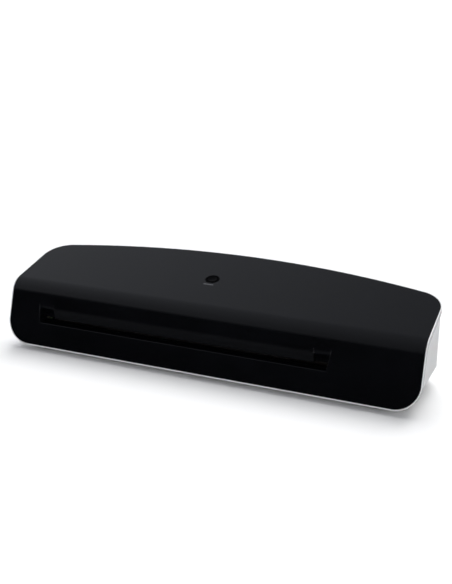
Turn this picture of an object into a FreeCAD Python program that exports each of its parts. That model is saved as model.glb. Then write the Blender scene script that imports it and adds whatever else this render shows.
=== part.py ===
import FreeCAD, Part
import os
from math import acos, atan2, cos, pi, radians, sin, sqrt, tan
from FreeCAD import Vector

# A4 pouch laminator.  Millimetres, +X to the machine's right, +Y to its back, +Z up.
# The origin is on the surface it stands on, under the middle of the whole machine.

# ---- casing ----
body_length = 340.0
body_depth = 96.5
foot_height = 4.0
face_height = 47.8            # underside of the body up to where the face would meet the top
face_lean = 17.0              # degrees the front face leans back
top_slope = 13.0              # degrees the top rises to the rear
shoulder_radius = 14.0
rear_bow = 22.0               # how far the rear wall bows out between its ends
rear_corner_radius = 22.0
low_corner_radius = 19.5
side_taper = 2.0              # each end draws in by this from front to rear
rim_width = 0.8
rim_depth = 4.6
rim_flange = 3.0
cover_wall = 2.4
trim_gap = 0.15
case_wall = 2.5
side_step = 0.7               # the case stands in from the rim by this
groove = 0.5
shelf_reach = 6.5             # the entry shelf stands out of the rear wall
hood_reach = 2.0              # and the mouth's upper lip and cheeks by this

# ---- exit slot ----
slot_width = 241.0
slot_middle = -20.0
sill_height = 18.5
lip_rise = 3.0
scoop_top = 33.5
scoop_depth = 4.5
flap_wall = 2.2
sill_depth = 5.5
end_splay = 2.0               # the recess is longer at its top by this at each end
pocket_length = 11.0          # at each end the flap steps back into a deeper pocket
pocket_depth = 7.5
pocket_wall = 1.5

# ---- pouch path ----
path_angle = 15.0
path_gap = 3.0
entry_gap = 7.0
roller_room = 2.5             # from the slot's end to the roller's end
exit_relief_gap = 1.0         # case front edge to the cover's sill and cheeks
throat_room = 3.0             # the rear opening is longer than the slot by this at each end
mouth_length = 9.0            # along the path, where the entry guides open out
guide_start = 1.5             # clear of the rollers and of the sill
mouth_end_room = 1.5
cheek_wall = 1.8

# ---- rollers and gears ----
gear_module = 0.6
roller_teeth = 22
idler_teeth = 36
pinion_teeth = 16
gear_width = 6.0
tooth_thinning = 0.05
gear_addendum = 0.8
gear_dedendum = 1.15
pressure_angle = 25.0
nip_gap = 0.3
shaft_radius = 2.5
bearing_clearance = 0.05
exit_station = 20.0           # along the path from the lip to the exit nip
side_plate_wall = 1.5
side_plate_gap = 5.0
plate_foot = 9.0
plate_lift = 3.0              # the side plates' feet stand on bosses this high
bush_wall = 1.7
bush_flange = 3.3             # flange beyond the shaft
bush_flange_wall = 1.2
bush_length = 4.0
bush_fit = 0.03
gear_hub_wall = 1.7
gear_gap = 0.8                # bush end to gear face
shaft_overhang = 3.0
clip_groove = 0.8

# ---- heater ----
plate_wall = 4.0
plate_roller_gap = 1.2
heater_wall = 1.6

# ---- drive ----
motor_radius = 18.0
motor_depth = 17.0
motor_offset = 14.0             # the output shaft stands off the can's middle
motor_shaft_radius = 2.0
motor_ear_radius = 3.6
motor_ear_wall = 1.2
motor_ear_offset = 21.2       # from the can's middle to each mounting ear
motor_gap = 3.0
motor_floor_gap = 1.0         # least room between the can and the stand's foot
motor_boss_radius = 3.6
stand_wall = 1.2
idler_pin_radius = 2.0

# ---- button ----
button_x = -11.0
button_back = 56.0            # behind the front of the body
button_radius = 4.3
button_proud = 0.5
button_cap_height = 3.5
button_skirt = 0.7
skirt_lip = 0.9
button_stem = 0.5
button_travel = 1.0
button_clearance = 0.35
button_dish = 0.45
ring_width = 1.3
ring_proud = 0.35
ring_flange = 0.95
ring_collar = 3.15
ring_step = 0.6               # the flange rests on the cover by this
switch_body = 1.6
switch_plunger = 0.4
board_length = 56.0
board_width = 16.0
board_wall = 1.2
board_post_radius = 2.4
board_screw_inset = 4.0

# ---- fasteners, feet and mains inlet ----
post_radius = 3.6
post_end_gap = 15.0
post_rows = (30.0, 58.0)      # behind the front of the body
post_screw_depth = 12.0
screw_radius = 1.5
screw_head_radius = 2.8
screw_head_height = 1.8
foot_radius = 6.5
foot_inset = 14.0
rear_foot_draw = 20.0         # rear feet stand nearer the middle, clear of the end tapers
guide_wall = 1.8
vent_rows = (24.0, 62.0)
vent_count = 13
vent_pitch = 12.0
vent_width = 2.6
vent_length = 20.0
rear_vent_count = 11
rear_vent_pitch = 5.0
rear_vent_width = 2.0
rear_vent_foot = 9.0
rear_vent_height = 16.0
rear_vent_end = 30.0          # first one in from the slot's end
label_length = 40.0
label_width = 22.0
label_wall = 0.3
label_gap = 8.0
tie_radius = 2.2
tie_offset = 10.8
boss_top = 16.0
inlet_x = 130.0
inlet_z = 16.0
inlet_half_span = 8.6
inlet_half_height = 4.4
inlet_depth = 14.0
inlet_wall = 1.6
inlet_pin_spacing = 8.6
inlet_pin_radius = 1.18
inlet_flange = 2.0
inlet_fit = 0.15
mains_board_wall = 1.6
mains_board_gap = 1.6         # to the inlet
mains_board_length = 42.0
mains_board_height = 30.0

# ---- values that follow from the sizes above ----
far = 400.0
front_y = -(body_depth + shelf_reach) / 2
rear_y = front_y + body_depth
base_z = foot_height
bow_radius = ((body_length / 2) ** 2 + rear_bow ** 2) / (2 * rear_bow)
face_dir = Vector(0, sin(radians(face_lean)), cos(radians(face_lean)))
face_out = Vector(0, -cos(radians(face_lean)), sin(radians(face_lean)))
top_dir = Vector(0, cos(radians(top_slope)), sin(radians(top_slope)))
top_out = Vector(0, -sin(radians(top_slope)), cos(radians(top_slope)))
shoulder = Vector(0, front_y + face_height * tan(radians(face_lean)), base_z + face_height)
slot_left = slot_middle - slot_width / 2
slot_right = slot_middle + slot_width / 2
roller_radius = gear_module * roller_teeth / 2 - nip_gap / 2
gear_pitch_radius = gear_module * roller_teeth / 2
roller_spacing = gear_module * (roller_teeth + idler_teeth)
bush_radius = shaft_radius + bush_wall
bush_flange_radius = shaft_radius + bush_flange
gear_hub_radius = shaft_radius + gear_hub_wall
ring_outer_radius = button_radius + ring_width
entry_station = exit_station + roller_spacing
roller_left = slot_left + roller_room
roller_right = slot_right - roller_room
plate_left_x = slot_left - side_plate_gap - side_plate_wall
plate_right_x = slot_right + side_plate_gap
gear_x = plate_right_x + bush_length + gear_gap
motor_face_x = gear_x + gear_width + motor_gap
case_floor_z = base_z + side_step + case_wall


def face_y(height):
    """Y of the front face at a height above the body's underside."""
    return front_y + height * tan(radians(face_lean))


sill_back = face_y(sill_height) + scoop_depth + sill_depth


def top_z(y):
    """Z of the top face at a given Y."""
    return shoulder.z + (y - shoulder.y) * tan(radians(top_slope))


def export(name, shape):
    shape.exportStep("parts/" + name + ".step")
    print(name, len(shape.Solids), round(shape.Volume, 1), shape.isValid())


def box(x0, x1, y0, y1, z0, z1):
    return Part.makeBox(x1 - x0, y1 - y0, z1 - z0, Vector(x0, y0, z0))


def prism_x(points, x0, x1):
    """A closed outline of points in the YZ plane, pushed along X."""
    outline = Part.makePolygon([Vector(x0, p.y, p.z) for p in points + points[:1]])
    return Part.Face(outline).extrude(Vector(x1 - x0, 0, 0))


def rod(start, direction, radius, length):
    return Part.makeCylinder(radius, length, start, direction)


def along_x(x0, x1, centre, radius):
    return rod(Vector(x0, centre.y, centre.z), Vector(1, 0, 0), radius, x1 - x0)


# ---- the casing's outer form ----

def under_skin(inset):
    """Everything under the bent front and top skin, moved inward by inset."""
    mean = face_out + top_out
    corner = shoulder - mean * (inset / (1 + face_out.dot(top_out)))
    bend = radians(90 - face_lean - top_slope)
    radius = shoulder_radius - inset
    tangent = radius * tan(bend / 2)
    low = corner - face_dir * tangent
    high = corner + top_dir * tangent
    mean.normalize()
    middle = corner - mean * (radius / cos(bend / 2) - radius)
    foot = corner - face_dir * far
    back = corner + top_dir * far
    edges = [
        Part.makeLine(foot, low),
        Part.Arc(low, middle, high).toShape(),
        Part.makeLine(high, back),
        Part.makeLine(back, Vector(0, back.y, foot.z)),
        Part.makeLine(Vector(0, back.y, foot.z), foot),
    ]
    face = Part.Face(Part.Wire(edges))
    face.translate(Vector(-far, 0, 0))
    return face.extrude(Vector(2 * far, 0, 0))


def side_x(y, edge):
    """Half the body's length at a given Y."""
    return body_length / 2 - side_taper * (y - front_y) / body_depth - edge


def plan_form(edge, grow_back=0.0):
    """The outline from above, drawn in by edge: tapered ends and a bowed rear."""
    y0 = front_y - far / 2
    y1 = rear_y + far / 2
    corners = [(-1, y0), (1, y0), (1, y1), (-1, y1)]
    points = [Vector(s * side_x(y, edge), y, -far / 2) for s, y in corners]
    sides = Part.Face(Part.makePolygon(points + points[:1])).extrude(Vector(0, 0, far))
    radius = bow_radius + grow_back - edge
    bow = Part.makeCylinder(radius, far, Vector(0, rear_y - bow_radius, -far / 2), Vector(0, 0, 1))
    form = sides.common(bow)
    corner = [e for e in form.Edges if is_rear_corner(e)]
    return form.makeFillet(rear_corner_radius - edge, corner)


def is_rear_corner(edge):
    box_of = edge.BoundBox
    upright = box_of.ZLength > far / 2 and box_of.XLength < 1 and box_of.YLength < 1
    return upright and abs(box_of.Center.x) > body_length / 4 and box_of.Center.y > front_y


def front_form(edge):
    """The outline from the front, drawn in by edge: rounded lower corners."""
    half = body_length / 2 - edge
    form = box(-half, half, -far, far, base_z + edge, far)
    low = [e for e in form.Edges if e.BoundBox.YLength > far and e.BoundBox.Center.z < far / 2]
    return form.makeFillet(low_corner_radius - edge, low)


def body_form(inset, edge):
    return under_skin(inset).common(plan_form(edge)).common(front_form(edge))


# ---- the pouch path's own axes ----

path_origin = Vector(0, face_y(sill_height) + scoop_depth / 2, base_z + sill_height + lip_rise / 2)
path_dir = Vector(0, cos(radians(path_angle)), sin(radians(path_angle)))
path_up = Vector(0, -sin(radians(path_angle)), cos(radians(path_angle)))


def on_path(along, above):
    return path_origin + path_dir * along + path_up * above


def path_box(x0, x1, s0, s1, n0, n1):
    """A box square to the pouch path: s runs along it, n stands up from it."""
    corners = [on_path(s0, n0), on_path(s1, n0), on_path(s1, n1), on_path(s0, n1)]
    return prism_x(corners, x0, x1)


# ---- front cover ----

def flap_curve(depth, shift, x):
    """The scoop's soft line from the face down to a lip this deep, moved back by shift."""
    top = Vector(x, face_y(scoop_top) + shift, base_z + scoop_top)
    lip_z = sill_height + lip_rise
    lip = Vector(x, face_y(lip_z) + depth + shift, base_z + lip_z)
    reach = (scoop_top - lip_z) / 2
    poles = [top, top - face_dir * reach, lip + Vector(0, 0, reach), lip]
    curve = Part.BezierCurve()
    curve.setPoles(poles)
    return curve.toShape(), top, lip


def flap(x0, x1, near_depth, back_depth):
    near, near_top, near_lip = flap_curve(near_depth, 0, x0)
    back, back_top, back_lip = flap_curve(back_depth, flap_wall, x0)
    wire = Part.Wire([
        near,
        Part.makeLine(near_lip, back_lip),
        back,
        Part.makeLine(back_top, near_top),
    ])
    return Part.Face(wire).extrude(Vector(x1 - x0, 0, 0))


def recess(grow, y0, y1):
    """The recess seen from the front: longer at its top, and longer by grow at each end."""
    low_z = base_z + sill_height
    high_z = base_z + scoop_top
    corners = [
        Vector(slot_left - grow, y0, low_z),
        Vector(slot_right + grow, y0, low_z),
        Vector(slot_right + end_splay + grow, y0, high_z),
        Vector(slot_left - end_splay - grow, y0, high_z),
    ]
    face = Part.Face(Part.makePolygon(corners + corners[:1]))
    return face.extrude(Vector(0, y1 - y0, 0))


def scoop():
    """The flap over the slot, with a deeper pocket at each end."""
    x0 = slot_left + pocket_length
    x1 = slot_right - pocket_length
    reach = end_splay + flap_wall
    pieces = [
        flap(x0, x0 + pocket_wall, scoop_depth, pocket_depth),
        flap(x1 - pocket_wall, x1, scoop_depth, pocket_depth),
        flap(slot_left - reach, x0, pocket_depth, pocket_depth),
        flap(x1, slot_right + reach, pocket_depth, pocket_depth),
    ]
    whole = flap(x0, x1, scoop_depth, scoop_depth).fuse(pieces)
    return whole.common(recess(flap_wall / 2, -far, far))


def front_cover():
    skin = body_form(0, rim_width + trim_gap).cut(under_skin(cover_wall))
    skin = skin.cut(recess(0, -far, 0))
    cheeks = recess(flap_wall, front_y, sill_back).cut(recess(0, front_y, sill_back))
    cheeks = cheeks.common(under_skin(0))
    sill = box(slot_left - flap_wall, slot_right + flap_wall, front_y, sill_back,
               base_z + sill_height - flap_wall, base_z + sill_height).common(under_skin(0))
    shape = skin.fuse([scoop(), cheeks, sill])
    for x, y in post_places():
        shape = shape.fuse(cover_post(x, y))
    shape = shape.cut(button_hole(ring_outer_radius - ring_step))
    seat = rod(button_seat + top_out * 5, button_axis, ring_outer_radius + 0.05,
               5 + ring_flange - ring_proud)
    shape = shape.cut(seat)
    for x, y in post_places():
        hole = rod(Vector(x, y, boss_top), Vector(0, 0, 1), screw_radius - 0.1, post_screw_depth)
        shape = shape.cut(hole)
    for x in board_screw_xs():
        shape = shape.fuse(board_post(x))
    return shape.removeSplitter()


def post_places():
    x = body_length / 2 - post_end_gap
    return [(s * x, front_y + row) for s in (-1, 1) for row in post_rows]


def cover_post(x, y):
    post = rod(Vector(x, y, boss_top), Vector(0, 0, 1), post_radius, far)
    return post.common(under_skin(cover_wall / 2))


# ---- white rim round the cover ----

def rim_frame():
    outer = body_form(0, 0)
    ring = outer.cut(body_form(-1, rim_width)).cut(under_skin(rim_depth))
    seat = cover_wall + trim_gap
    flange = body_form(seat, rim_width / 2).cut(body_form(seat - 1, rim_width + rim_flange))
    flange = flange.cut(under_skin(rim_depth))
    frame = ring.fuse(flange).removeSplitter()
    for x, y in post_places():
        frame = frame.cut(rod(Vector(x, y, 0), Vector(0, 0, 1), post_radius + trim_gap, far))
    return frame


# ---- lower case: floor, ends and rear wall in one moulding ----

def lower_case():
    depth = rim_depth + groove
    outer = body_form(depth, side_step)
    inner_edge = side_step + case_wall
    room = under_skin(depth - 2).common(plan_form(inner_edge)).common(front_form(inner_edge))
    case = outer.cut(room)
    for x, y in post_places():
        boss = rod(Vector(x, y, base_z + side_step), Vector(0, 0, 1), post_radius,
                   boss_top - trim_gap - base_z - side_step)
        case = case.fuse(boss.common(front_form(side_step)))
    for x, y, height in plate_bosses():
        case = case.fuse(rod(Vector(x, y, base_z + side_step), Vector(0, 0, 1), post_radius,
                             height - base_z - side_step))
    case = case.cut(entry_throat(slot_left - throat_room, slot_right + throat_room))
    case = case.cut(exit_relief())
    for x, y in post_places():
        case = case.cut(rod(Vector(x, y, 0), Vector(0, 0, 1), screw_radius + 0.3, boss_top + 1))
        case = case.cut(rod(Vector(x, y, 0), Vector(0, 0, 1), screw_head_radius + 0.4,
                            base_z + side_step + 3.0))
    for x, y, height in plate_bosses():
        case = case.cut(rod(Vector(x, y, height - 8), Vector(0, 0, 1), screw_radius - 0.1, 9))
    for cut in floor_vents() + rear_vents():
        case = case.cut(cut)
    return case.cut(inlet_hole()).removeSplitter()


def entry_throat(x0, x1):
    """The opening through the rear wall that the entry guides stand in."""
    return path_box(x0, x1, entry_station + roller_radius, far / 2,
                    -entry_gap / 2 - guide_wall - trim_gap, entry_gap / 2 + guide_wall + trim_gap)


def exit_relief():
    """Room in the case's front edge for the cover's sill and cheeks."""
    reach = flap_wall + exit_relief_gap
    return box(slot_left - reach, slot_right + reach, -far, sill_back + exit_relief_gap,
               base_z + sill_height - reach, far)


def floor_vents():
    vents = []
    for row in vent_rows:
        row_y = front_y + row
        for i in range(vent_count):
            x = slot_middle + (i - (vent_count - 1) / 2) * vent_pitch
            vents.append(box(x - vent_width / 2, x + vent_width / 2, row_y - vent_length / 2,
                             row_y + vent_length / 2, 0, case_floor_z + 1))
    return vents


def rear_vents():
    vents = []
    for i in range(rear_vent_count):
        x = slot_right - rear_vent_end - i * rear_vent_pitch
        vents.append(box(x - rear_vent_width / 2, x + rear_vent_width / 2, 0, far,
                         base_z + rear_vent_foot, base_z + rear_vent_foot + rear_vent_height))
    return vents


# ---- entry guides at the rear ----

def entry_guide(lower):
    """A guide sheet that reaches out through the rear wall and turns into a mouth lip."""
    sign = -1 if lower else 1
    start = entry_station + roller_radius + guide_start
    n_in = sign * path_gap / 2
    n_out = sign * entry_gap / 2
    flare = start + mouth_length
    reach = shelf_reach if lower else hood_reach
    points = [
        on_path(start, n_in),
        on_path(flare, n_out),
        on_path(far / 2, n_out),
        on_path(far / 2, n_out + sign * guide_wall),
        on_path(flare, n_out + sign * guide_wall),
        on_path(start, n_in + sign * guide_wall),
    ]
    guide = prism_x(points, slot_left - mouth_end_room, slot_right + mouth_end_room)
    return guide.common(plan_form(0, reach))


def entry_cheeks():
    """The mouth's two end pieces, joined to the lower guide."""
    start = entry_station + roller_radius + guide_start + mouth_length - 0.5
    cheeks = []
    for x0 in (slot_left - mouth_end_room, slot_right + mouth_end_room - cheek_wall):
        piece = path_box(x0, x0 + cheek_wall, start, far / 2, -entry_gap / 2 - guide_wall,
                         entry_gap / 2 - 0.1)
        cheeks.append(piece.common(plan_form(0, hood_reach)))
    return cheeks


# ---- rollers ----

def roller_centre(station, upper):
    return on_path(station, gear_pitch_radius if upper else -gear_pitch_radius)


def roller_shaft(centre):
    x0 = plate_left_x - shaft_overhang
    x1 = gear_x + gear_width + 1.0
    shaft = along_x(x0, x1, centre, shaft_radius)
    ring = along_x(x0 + 1.0, x0 + 1.0 + clip_groove, centre, shaft_radius + 1)
    core = along_x(x0 + 1.0, x0 + 1.0 + clip_groove, centre, shaft_radius - 0.6)
    return shaft.cut(ring.cut(core))


def roller_sleeve(centre):
    sleeve = along_x(roller_left, roller_right, centre, roller_radius)
    return sleeve.cut(along_x(roller_left, roller_right, centre, shaft_radius))


def bushes():
    parts = []
    for station in (exit_station, entry_station):
        for upper in (False, True):
            centre = roller_centre(station, upper)
            parts.append(bush(centre, plate_right_x, 1))
            parts.append(bush(centre, plate_left_x + side_plate_wall, -1))
    return Part.Compound(parts)


def bush(centre, inner_x, side):
    """A flanged bush whose flange bears on the inner face of a side plate."""
    a, b = sorted((inner_x - side * bush_flange_wall, inner_x))
    c, d = sorted((inner_x, inner_x + side * (bush_length - bush_flange_wall)))
    body = along_x(a, b, centre, bush_flange_radius).fuse(along_x(c, d, centre, bush_radius))
    return body.cut(along_x(-far, far, centre, shaft_radius + bearing_clearance)).removeSplitter()


# ---- gears ----

def tooth_half_angle(teeth, radius):
    pitch_radius = gear_module * teeth / 2
    base_radius = pitch_radius * cos(radians(pressure_angle))
    at_pitch = tan(radians(pressure_angle)) - radians(pressure_angle)
    slant = acos(min(1.0, base_radius / radius))
    at_radius = tan(slant) - slant
    return pi / (2 * teeth) + at_pitch - at_radius - tooth_thinning / pitch_radius


def gear(centre, teeth, phase, x0, bore, hub_radius):
    """A spur gear about X, with one tooth centred on the angle called phase."""
    pitch_radius = gear_module * teeth / 2
    tip = pitch_radius + gear_addendum * gear_module
    root = pitch_radius - gear_dedendum * gear_module
    radii = [root, pitch_radius * 0.985, pitch_radius * 1.02, tip]
    points = []
    for i in range(teeth):
        middle = phase + 2 * pi * i / teeth
        rise = [(r, middle - tooth_half_angle(teeth, r)) for r in radii]
        fall = [(r, middle + tooth_half_angle(teeth, r)) for r in reversed(radii)]
        for r, angle in rise + fall:
            points.append(centre + Vector(0, r * cos(angle), r * sin(angle)))
    body = prism_x(points, x0, x0 + gear_width)
    dish = along_x(x0 + gear_width - 1.5, x0 + gear_width, centre, root - 1.2)
    dish = dish.cut(along_x(x0, x0 + gear_width, centre, hub_radius))
    return body.cut(dish).cut(along_x(-far, far, centre, bore))


def mesh_phase(phase, teeth, next_teeth, direction):
    """Phase of the next gear so that its gap meets the first gear's tooth."""
    pitch = 2 * pi / teeth
    share = ((direction - phase) % pitch) / pitch
    return direction + pi + (share - 0.5) * 2 * pi / next_teeth


# ---- side plates ----

def side_plate(x0, drive_side):
    low = case_floor_z + plate_lift
    s0 = exit_station - bush_flange_radius - 3.0
    s1 = entry_station + bush_flange_radius + 3.0
    reach = gear_pitch_radius + bush_flange_radius + 1.2
    upper = path_box(x0, x0 + side_plate_wall, s0, s1, -reach, reach)
    leg = box(x0, x0 + side_plate_wall, on_path(s0 + 4, 0).y, on_path(s1 - 4, 0).y, low,
              on_path(s0, 0).z)
    plate = upper.fuse(leg)
    a = x0 + side_plate_wall
    b = a + plate_foot
    foot = box(a, b, on_path(s0 + 4, 0).y, on_path(s1 - 4, 0).y, low, low + side_plate_wall)
    plate = plate.fuse(foot)
    for station in (exit_station, entry_station):
        for is_upper in (False, True):
            centre = roller_centre(station, is_upper)
            plate = plate.cut(along_x(-far, far, centre, bush_radius + bush_fit))
    for x, y, height in plate_bosses():
        if a < x < b:
            plate = plate.cut(rod(Vector(x, y, 0), Vector(0, 0, 1), screw_radius + 0.2,
                                  low + side_plate_wall + 1))
    if drive_side:
        plate = plate.cut(along_x(-far, far, idler_centre, idler_pin_radius))
    for n in (-tie_offset, tie_offset):
        place = on_path(exit_station + roller_spacing / 2, n)
        plate = plate.cut(along_x(-far, far, place, tie_radius - 0.6))
    return plate.removeSplitter()


idler_centre = on_path(exit_station + gear_module * (roller_teeth + idler_teeth) / 2,
                       -gear_pitch_radius)
pinion_reach = gear_module * (idler_teeth + pinion_teeth) / 2
pinion_centre = idler_centre + path_up * pinion_reach


def plate_bosses():
    """Floor bosses that carry the side plates' feet: x, y, top height."""
    low = case_floor_z + plate_lift
    ys = (on_path(exit_station - 2, 0).y, on_path(entry_station + 1, 0).y)
    left = [(plate_left_x + side_plate_wall + plate_foot / 2, y, low) for y in ys]
    right = [(plate_right_x + side_plate_wall + plate_foot / 2, y, low) for y in ys]
    return left + right


# ---- heater plates ----

def heater_plate(upper):
    sign = 1 if upper else -1
    room = roller_radius + plate_roller_gap
    s0 = exit_station + sqrt(room ** 2 - (gear_pitch_radius - path_gap / 2 - 1.0) ** 2)
    s1 = exit_station + entry_station - s0
    n_face = sign * path_gap / 2
    n_back = n_face + sign * plate_wall
    n_lo, n_hi = sorted((n_face, n_back))
    plate = path_box(roller_left, roller_right, s0, s1, n_lo, n_hi)
    for station in (exit_station, entry_station):
        clear = along_x(-far, far, roller_centre(station, upper), room)
        plate = plate.cut(clear)
    return plate, s0, s1, n_back


def heater_strip(upper):
    _, s0, s1, n_back = heater_plate(upper)
    sign = 1 if upper else -1
    n_lo, n_hi = sorted((n_back, n_back + sign * heater_wall))
    middle = (s0 + s1) / 2
    return path_box(roller_left + 12, roller_right - 12, middle - 2.2, middle + 2.2, n_lo, n_hi)


# ---- button ----

button_axis = -top_out
button_seat = Vector(button_x, front_y + button_back, top_z(front_y + button_back))


def button_hole(radius):
    return rod(button_seat + top_out * 5, button_axis, radius, 15)


def power_button():
    top = button_seat + top_out * button_proud
    cap = rod(top, button_axis, button_radius, button_cap_height)
    upper_edge = [e for e in cap.Edges if e.Closed and (e.CenterOfMass - top).Length < 0.1]
    cap = cap.makeFillet(0.7, upper_edge)
    dish_radius = (button_radius ** 2 + button_dish ** 2) / (2 * button_dish)
    cap = cap.cut(Part.makeSphere(dish_radius, top + top_out * (dish_radius - button_dish)))
    under_cap = top - top_out * button_cap_height
    skirt = rod(under_cap, button_axis, button_radius + skirt_lip, button_skirt)
    stem = rod(under_cap - top_out * button_skirt, button_axis, 1.5, button_stem)
    return cap.fuse([skirt, stem]).removeSplitter()


def button_ring():
    top = button_seat + top_out * ring_proud
    flange = rod(top, button_axis, ring_outer_radius, ring_flange)
    upper_edge = [e for e in flange.Edges if e.Closed and (e.CenterOfMass - top).Length < 0.05]
    flange = flange.makeFillet(0.3, upper_edge)
    collar = rod(top, button_axis, ring_outer_radius - ring_step - 0.05, ring_collar)
    bore = rod(top + top_out, button_axis, button_radius + button_clearance, far)
    return flange.fuse(collar).cut(bore).removeSplitter()


board_drop = (button_cap_height + button_skirt + button_stem - button_proud + button_travel + 0.05
              + switch_plunger + switch_body)


def board_top():
    return button_seat - top_out * board_drop


def board_box(x0, x1, t0, t1, n0, n1):
    """A box lying square to the top face: t runs up the slope, n stands out of it."""
    centre = board_top()
    corners = [centre + top_dir * t + top_out * n for t, n in ((t0, n0), (t1, n0), (t1, n1), (t0, n1))]
    return prism_x(corners, x0, x1)


def board_screw_xs():
    reach = board_length / 2 - board_screw_inset
    return (button_x - reach, button_x + reach)


def board_post(x):
    foot = board_top() + Vector(x - button_x, 0, 0)
    post = rod(foot, top_out, board_post_radius, board_drop - cover_wall / 2)
    return post.cut(rod(foot, top_out, 1.0, 4.0))


def control_board():
    half = board_length / 2
    board = board_box(button_x - half, button_x + half, -board_width / 2, board_width / 2,
                      -board_wall, 0)
    for x in board_screw_xs():
        foot = board_top() + Vector(x - button_x, 0, 0)
        board = board.cut(rod(foot + top_out, button_axis, 1.25, 4))
    return board


def board_screws():
    screws = []
    for x in board_screw_xs():
        foot = board_top() + Vector(x - button_x, 0, 0) - top_out * board_wall
        head = rod(foot, button_axis, 2.0, 1.0)
        shank = rod(foot, top_out, 0.98, board_wall + 3.5)
        screws.append(head.fuse(shank).removeSplitter())
    return Part.Compound(screws)


def tact_switch():
    body = board_box(button_x - 3, button_x + 3, -3, 3, 0, switch_body)
    plunger = rod(board_top() + top_out * switch_body, top_out, 1.4, switch_plunger)
    return body.fuse(plunger).removeSplitter()


def board_parts():
    """Two status lights, a connector and a driver chip on the small board."""
    parts = []
    for dx in (-9.0, 9.0):
        parts.append(rod(board_top() + Vector(dx, 0, 0), top_out, 1.5, 2.6))
    parts.append(board_box(button_x + 12, button_x + 19, -4, 4, 0, 3.2))
    parts.append(board_box(button_x - 19, button_x - 12, -3, 3, 0, 1.4))
    return Part.Compound(parts)


# ---- mains inlet ----

def inlet_form(half_span, half_height, y0, y1):
    middle = box(inlet_x - half_span + half_height, inlet_x + half_span - half_height, y0, y1,
                 inlet_z - half_height, inlet_z + half_height)
    ends = [rod(Vector(inlet_x + s * (half_span - half_height), y0, inlet_z), Vector(0, 1, 0),
                half_height, y1 - y0) for s in (-1, 1)]
    return middle.fuse(ends).removeSplitter()


def rear_at(x):
    """Y of the outside of the rear wall at a given X."""
    return rear_y - bow_radius + sqrt((bow_radius - side_step) ** 2 - x ** 2)


inlet_face = rear_at(inlet_x + inlet_half_span + inlet_wall + inlet_flange) - 0.3
inlet_back = inlet_face - inlet_depth - 2.0


def inlet_hole():
    span = inlet_half_span + inlet_wall
    height = inlet_half_height + inlet_wall
    hole = inlet_form(span + inlet_fit, height + inlet_fit, inlet_back - 5, far / 2)
    rim = inlet_flange + 0.4
    pocket = inlet_form(span + rim, height + rim, inlet_face - 1.2, far / 2)
    return hole.fuse(pocket)


def mains_inlet():
    span = inlet_half_span + inlet_wall
    height = inlet_half_height + inlet_wall
    body = inlet_form(span, height, inlet_back, inlet_face)
    flange = inlet_form(span + inlet_flange, height + inlet_flange, inlet_face - 1.0, inlet_face)
    socket = inlet_form(inlet_half_span, inlet_half_height, inlet_face - inlet_depth, inlet_face + 1)
    return body.fuse(flange).cut(socket).cut(inlet_pin_rods(0.02)).removeSplitter()


def inlet_pin_rods(grow=0.0):
    pins = []
    for side in (-1, 1):
        x = inlet_x + side * inlet_pin_spacing / 2
        start = Vector(x, inlet_back - 3.0, inlet_z)
        pins.append(rod(start, Vector(0, 1, 0), inlet_pin_radius + grow, inlet_depth + 2.0))
    return Part.Compound(pins)


# ---- drive ----

def motor_centre():
    return pinion_centre - Vector(0, 0, motor_offset)


def motor():
    can_centre = motor_centre()
    can = along_x(motor_face_x, motor_face_x + motor_depth, can_centre, motor_radius)
    ends = [e for e in can.Edges if e.Closed and e.BoundBox.XLength < 0.1]
    can = can.makeFillet(1.5, ends)
    boss = along_x(motor_face_x - 1.5, motor_face_x + 1, pinion_centre, motor_boss_radius)
    ears = []
    for side in (-1, 1):
        ear_centre = can_centre + Vector(0, side * motor_ear_offset, 0)
        ear = along_x(motor_face_x, motor_face_x + motor_ear_wall, ear_centre, motor_ear_radius)
        bridge = box(motor_face_x, motor_face_x + motor_ear_wall, min(can_centre.y, ear_centre.y),
                     max(can_centre.y, ear_centre.y), can_centre.z - motor_ear_radius,
                     can_centre.z + motor_ear_radius)
        ear = ear.fuse(bridge).cut(along_x(-far, far, ear_centre, 1.6))
        ears.append(ear)
    shape = can.fuse([boss] + ears)
    bore = along_x(motor_face_x - 3, motor_face_x + 8, pinion_centre, motor_shaft_radius
                   + bearing_clearance)
    return shape.cut(bore).removeSplitter()


def motor_shaft():
    return along_x(gear_x - 0.5, motor_face_x + 7.0, pinion_centre, motor_shaft_radius)


def motor_stand():
    """Bent steel stand that holds the motor off the floor beside the gears."""
    can_centre = motor_centre()
    half = motor_ear_offset + motor_ear_radius
    top = can_centre.z + 6.0
    x0 = motor_face_x - stand_wall
    wall = box(x0, motor_face_x, can_centre.y - half, can_centre.y + half, case_floor_z, top)
    wall = wall.cut(along_x(-far, far, pinion_centre, gear_module * pinion_teeth / 2 + 4))
    wall = wall.cut(box(x0 - 1, x0 + 3, can_centre.y - 9, can_centre.y + 9, can_centre.z - 6, far))
    foot = box(x0, motor_face_x + motor_depth + 3, can_centre.y - half,
               can_centre.y + half, case_floor_z, case_floor_z + stand_wall)
    foot = foot.cut(along_x(-far, far, can_centre, motor_radius + motor_floor_gap))
    for side in (-1, 1):
        ear_centre = can_centre + Vector(0, side * motor_ear_offset, 0)
        wall = wall.cut(along_x(-far, far, ear_centre, 1.3))
    return wall.fuse(foot).removeSplitter()


def motor_screws():
    can_centre = motor_centre()
    screws = []
    for side in (-1, 1):
        place = can_centre + Vector(0, side * motor_ear_offset, 0)
        head = along_x(motor_face_x + 1.2, motor_face_x + 2.8, place, 2.6)
        shank = along_x(motor_face_x - 1.8, motor_face_x + 1.2, place, 1.28)
        screws.append(head.fuse(shank).removeSplitter())
    return Part.Compound(screws)


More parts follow.
